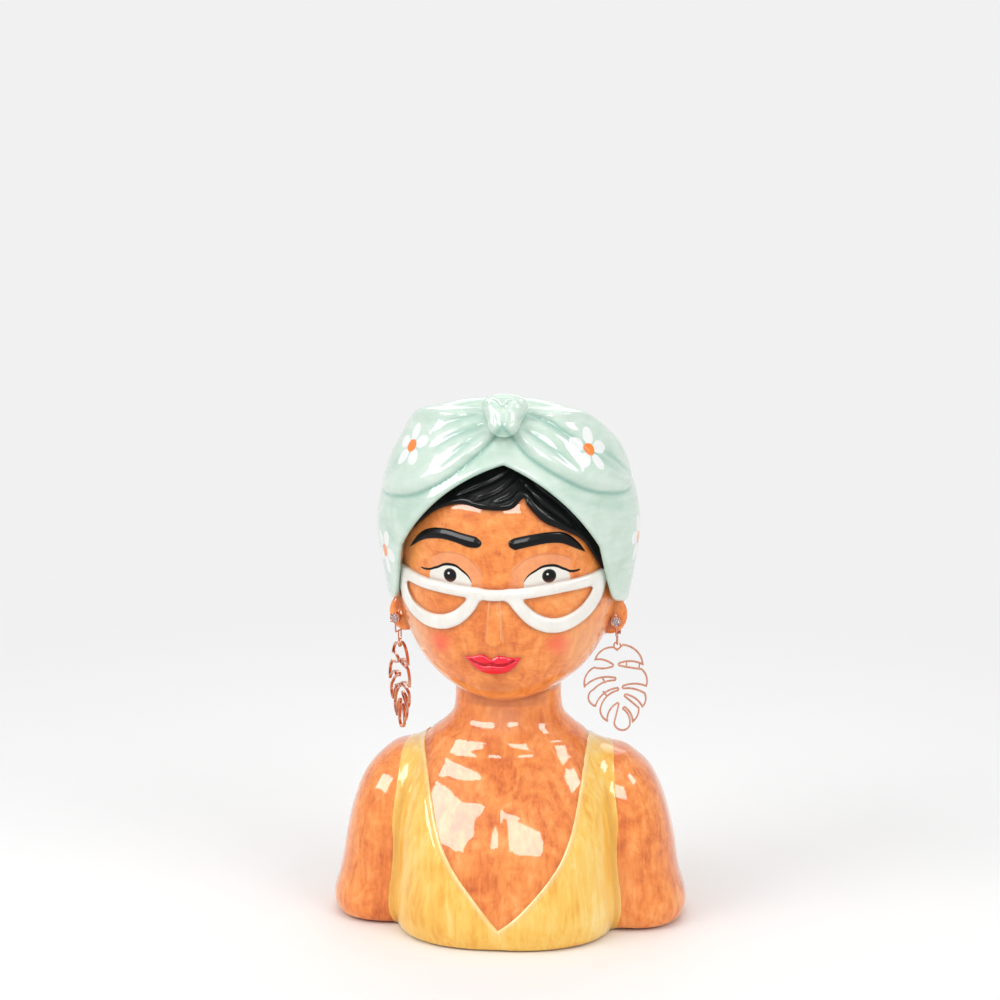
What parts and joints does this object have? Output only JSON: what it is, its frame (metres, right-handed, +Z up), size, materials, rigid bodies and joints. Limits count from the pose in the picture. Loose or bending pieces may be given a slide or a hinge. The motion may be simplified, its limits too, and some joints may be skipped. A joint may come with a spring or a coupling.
{
  "type": "head planter",
  "caption": "Ceramic plant pot in the form of a head and shoulders with a knotted headwrap, open at the top, and swinging leaf-shaped drop earrings.",
  "frame": {"origin": "middle of the underside of the overall box, on the surface the planter stands on", "axes": "+Z up, -Y is the front that the face looks to, +X is the viewer's right"},
  "size_m": [0.1816, 0.1288, 0.2719],
  "materials": {
    "skin_glaze": "brushed terracotta-orange glaze under a glossy clear coat",
    "mint_glaze": "glossy mint glaze with painted daisies",
    "yellow_glaze": "glossy warm yellow glaze, brushed on",
    "black_glaze": "glossy black glaze",
    "white_glaze": "glossy off-white glaze",
    "red_glaze": "glossy crimson glaze",
    "rose_gold": "polished rose-gold plate",
    "crystal": "clear cut crystal"
  },
  "bodies": {
    "root": {"torso": "skin_glaze", "arm_left": "skin_glaze", "arm_right": "skin_glaze", "head": "skin_glaze", "headwrap": "mint_glaze", "wrap_fold_left": "mint_glaze", "wrap_fold_right": "mint_glaze", "wrap_knot": "mint_glaze", "hair": "black_glaze", "brow_left": "black_glaze", "brow_right": "black_glaze", "lips": "red_glaze", "glasses": "white_glaze", "camisole": "yellow_glaze"},
    "earring_left": {"earring_frame_left": "rose_gold", "earring_stone_left": "crystal"},
    "lever_left": {"earring_lever_left": "rose_gold", "earring_pin_left": "rose_gold"},
    "leaf_left": {"earring_leaf_left": "rose_gold"},
    "earring_right": {"earring_frame_right": "rose_gold", "earring_stone_right": "crystal"},
    "lever_right": {"earring_lever_right": "rose_gold", "earring_pin_right": "rose_gold"},
    "leaf_right": {"earring_leaf_right": "rose_gold"}
  },
  "joints": [
    {"name": "earring_swing_left", "type": "hinge", "parent": "root", "child": "earring_left", "pos_m": [-0.0548, -0.005, 0.1548], "axis": [0.2419, 0.9703, 0], "range_deg": [-4, 25]},
    {"name": "lever_open_left", "type": "hinge", "parent": "earring_left", "child": "lever_left", "pos_m": [-0.05352, 0.00014, 0.1474], "axis": [-0.9703, 0.2419, 0], "range_deg": [0, 60]},
    {"name": "leaf_swing_left", "type": "hinge", "parent": "earring_left", "child": "leaf_left", "pos_m": [-0.0548, -0.005, 0.1432], "axis": [0.4384, -0.8988, 0], "range_deg": [-20, 15]},
    {"name": "earring_swing_right", "type": "hinge", "parent": "root", "child": "earring_right", "pos_m": [0.0548, -0.005, 0.1548], "axis": [0.0698, 0.9976, 0], "range_deg": [-25, 4]},
    {"name": "lever_open_right", "type": "hinge", "parent": "earring_right", "child": "lever_right", "pos_m": [0.05517, 0.00029, 0.1474], "axis": [-0.9976, 0.0698, 0], "range_deg": [0, 60]},
    {"name": "leaf_swing_right", "type": "hinge", "parent": "earring_right", "child": "leaf_right", "pos_m": [0.0548, -0.005, 0.1432], "axis": [0.9976, -0.0698, 0], "range_deg": [-30, 30]}
  ]
}
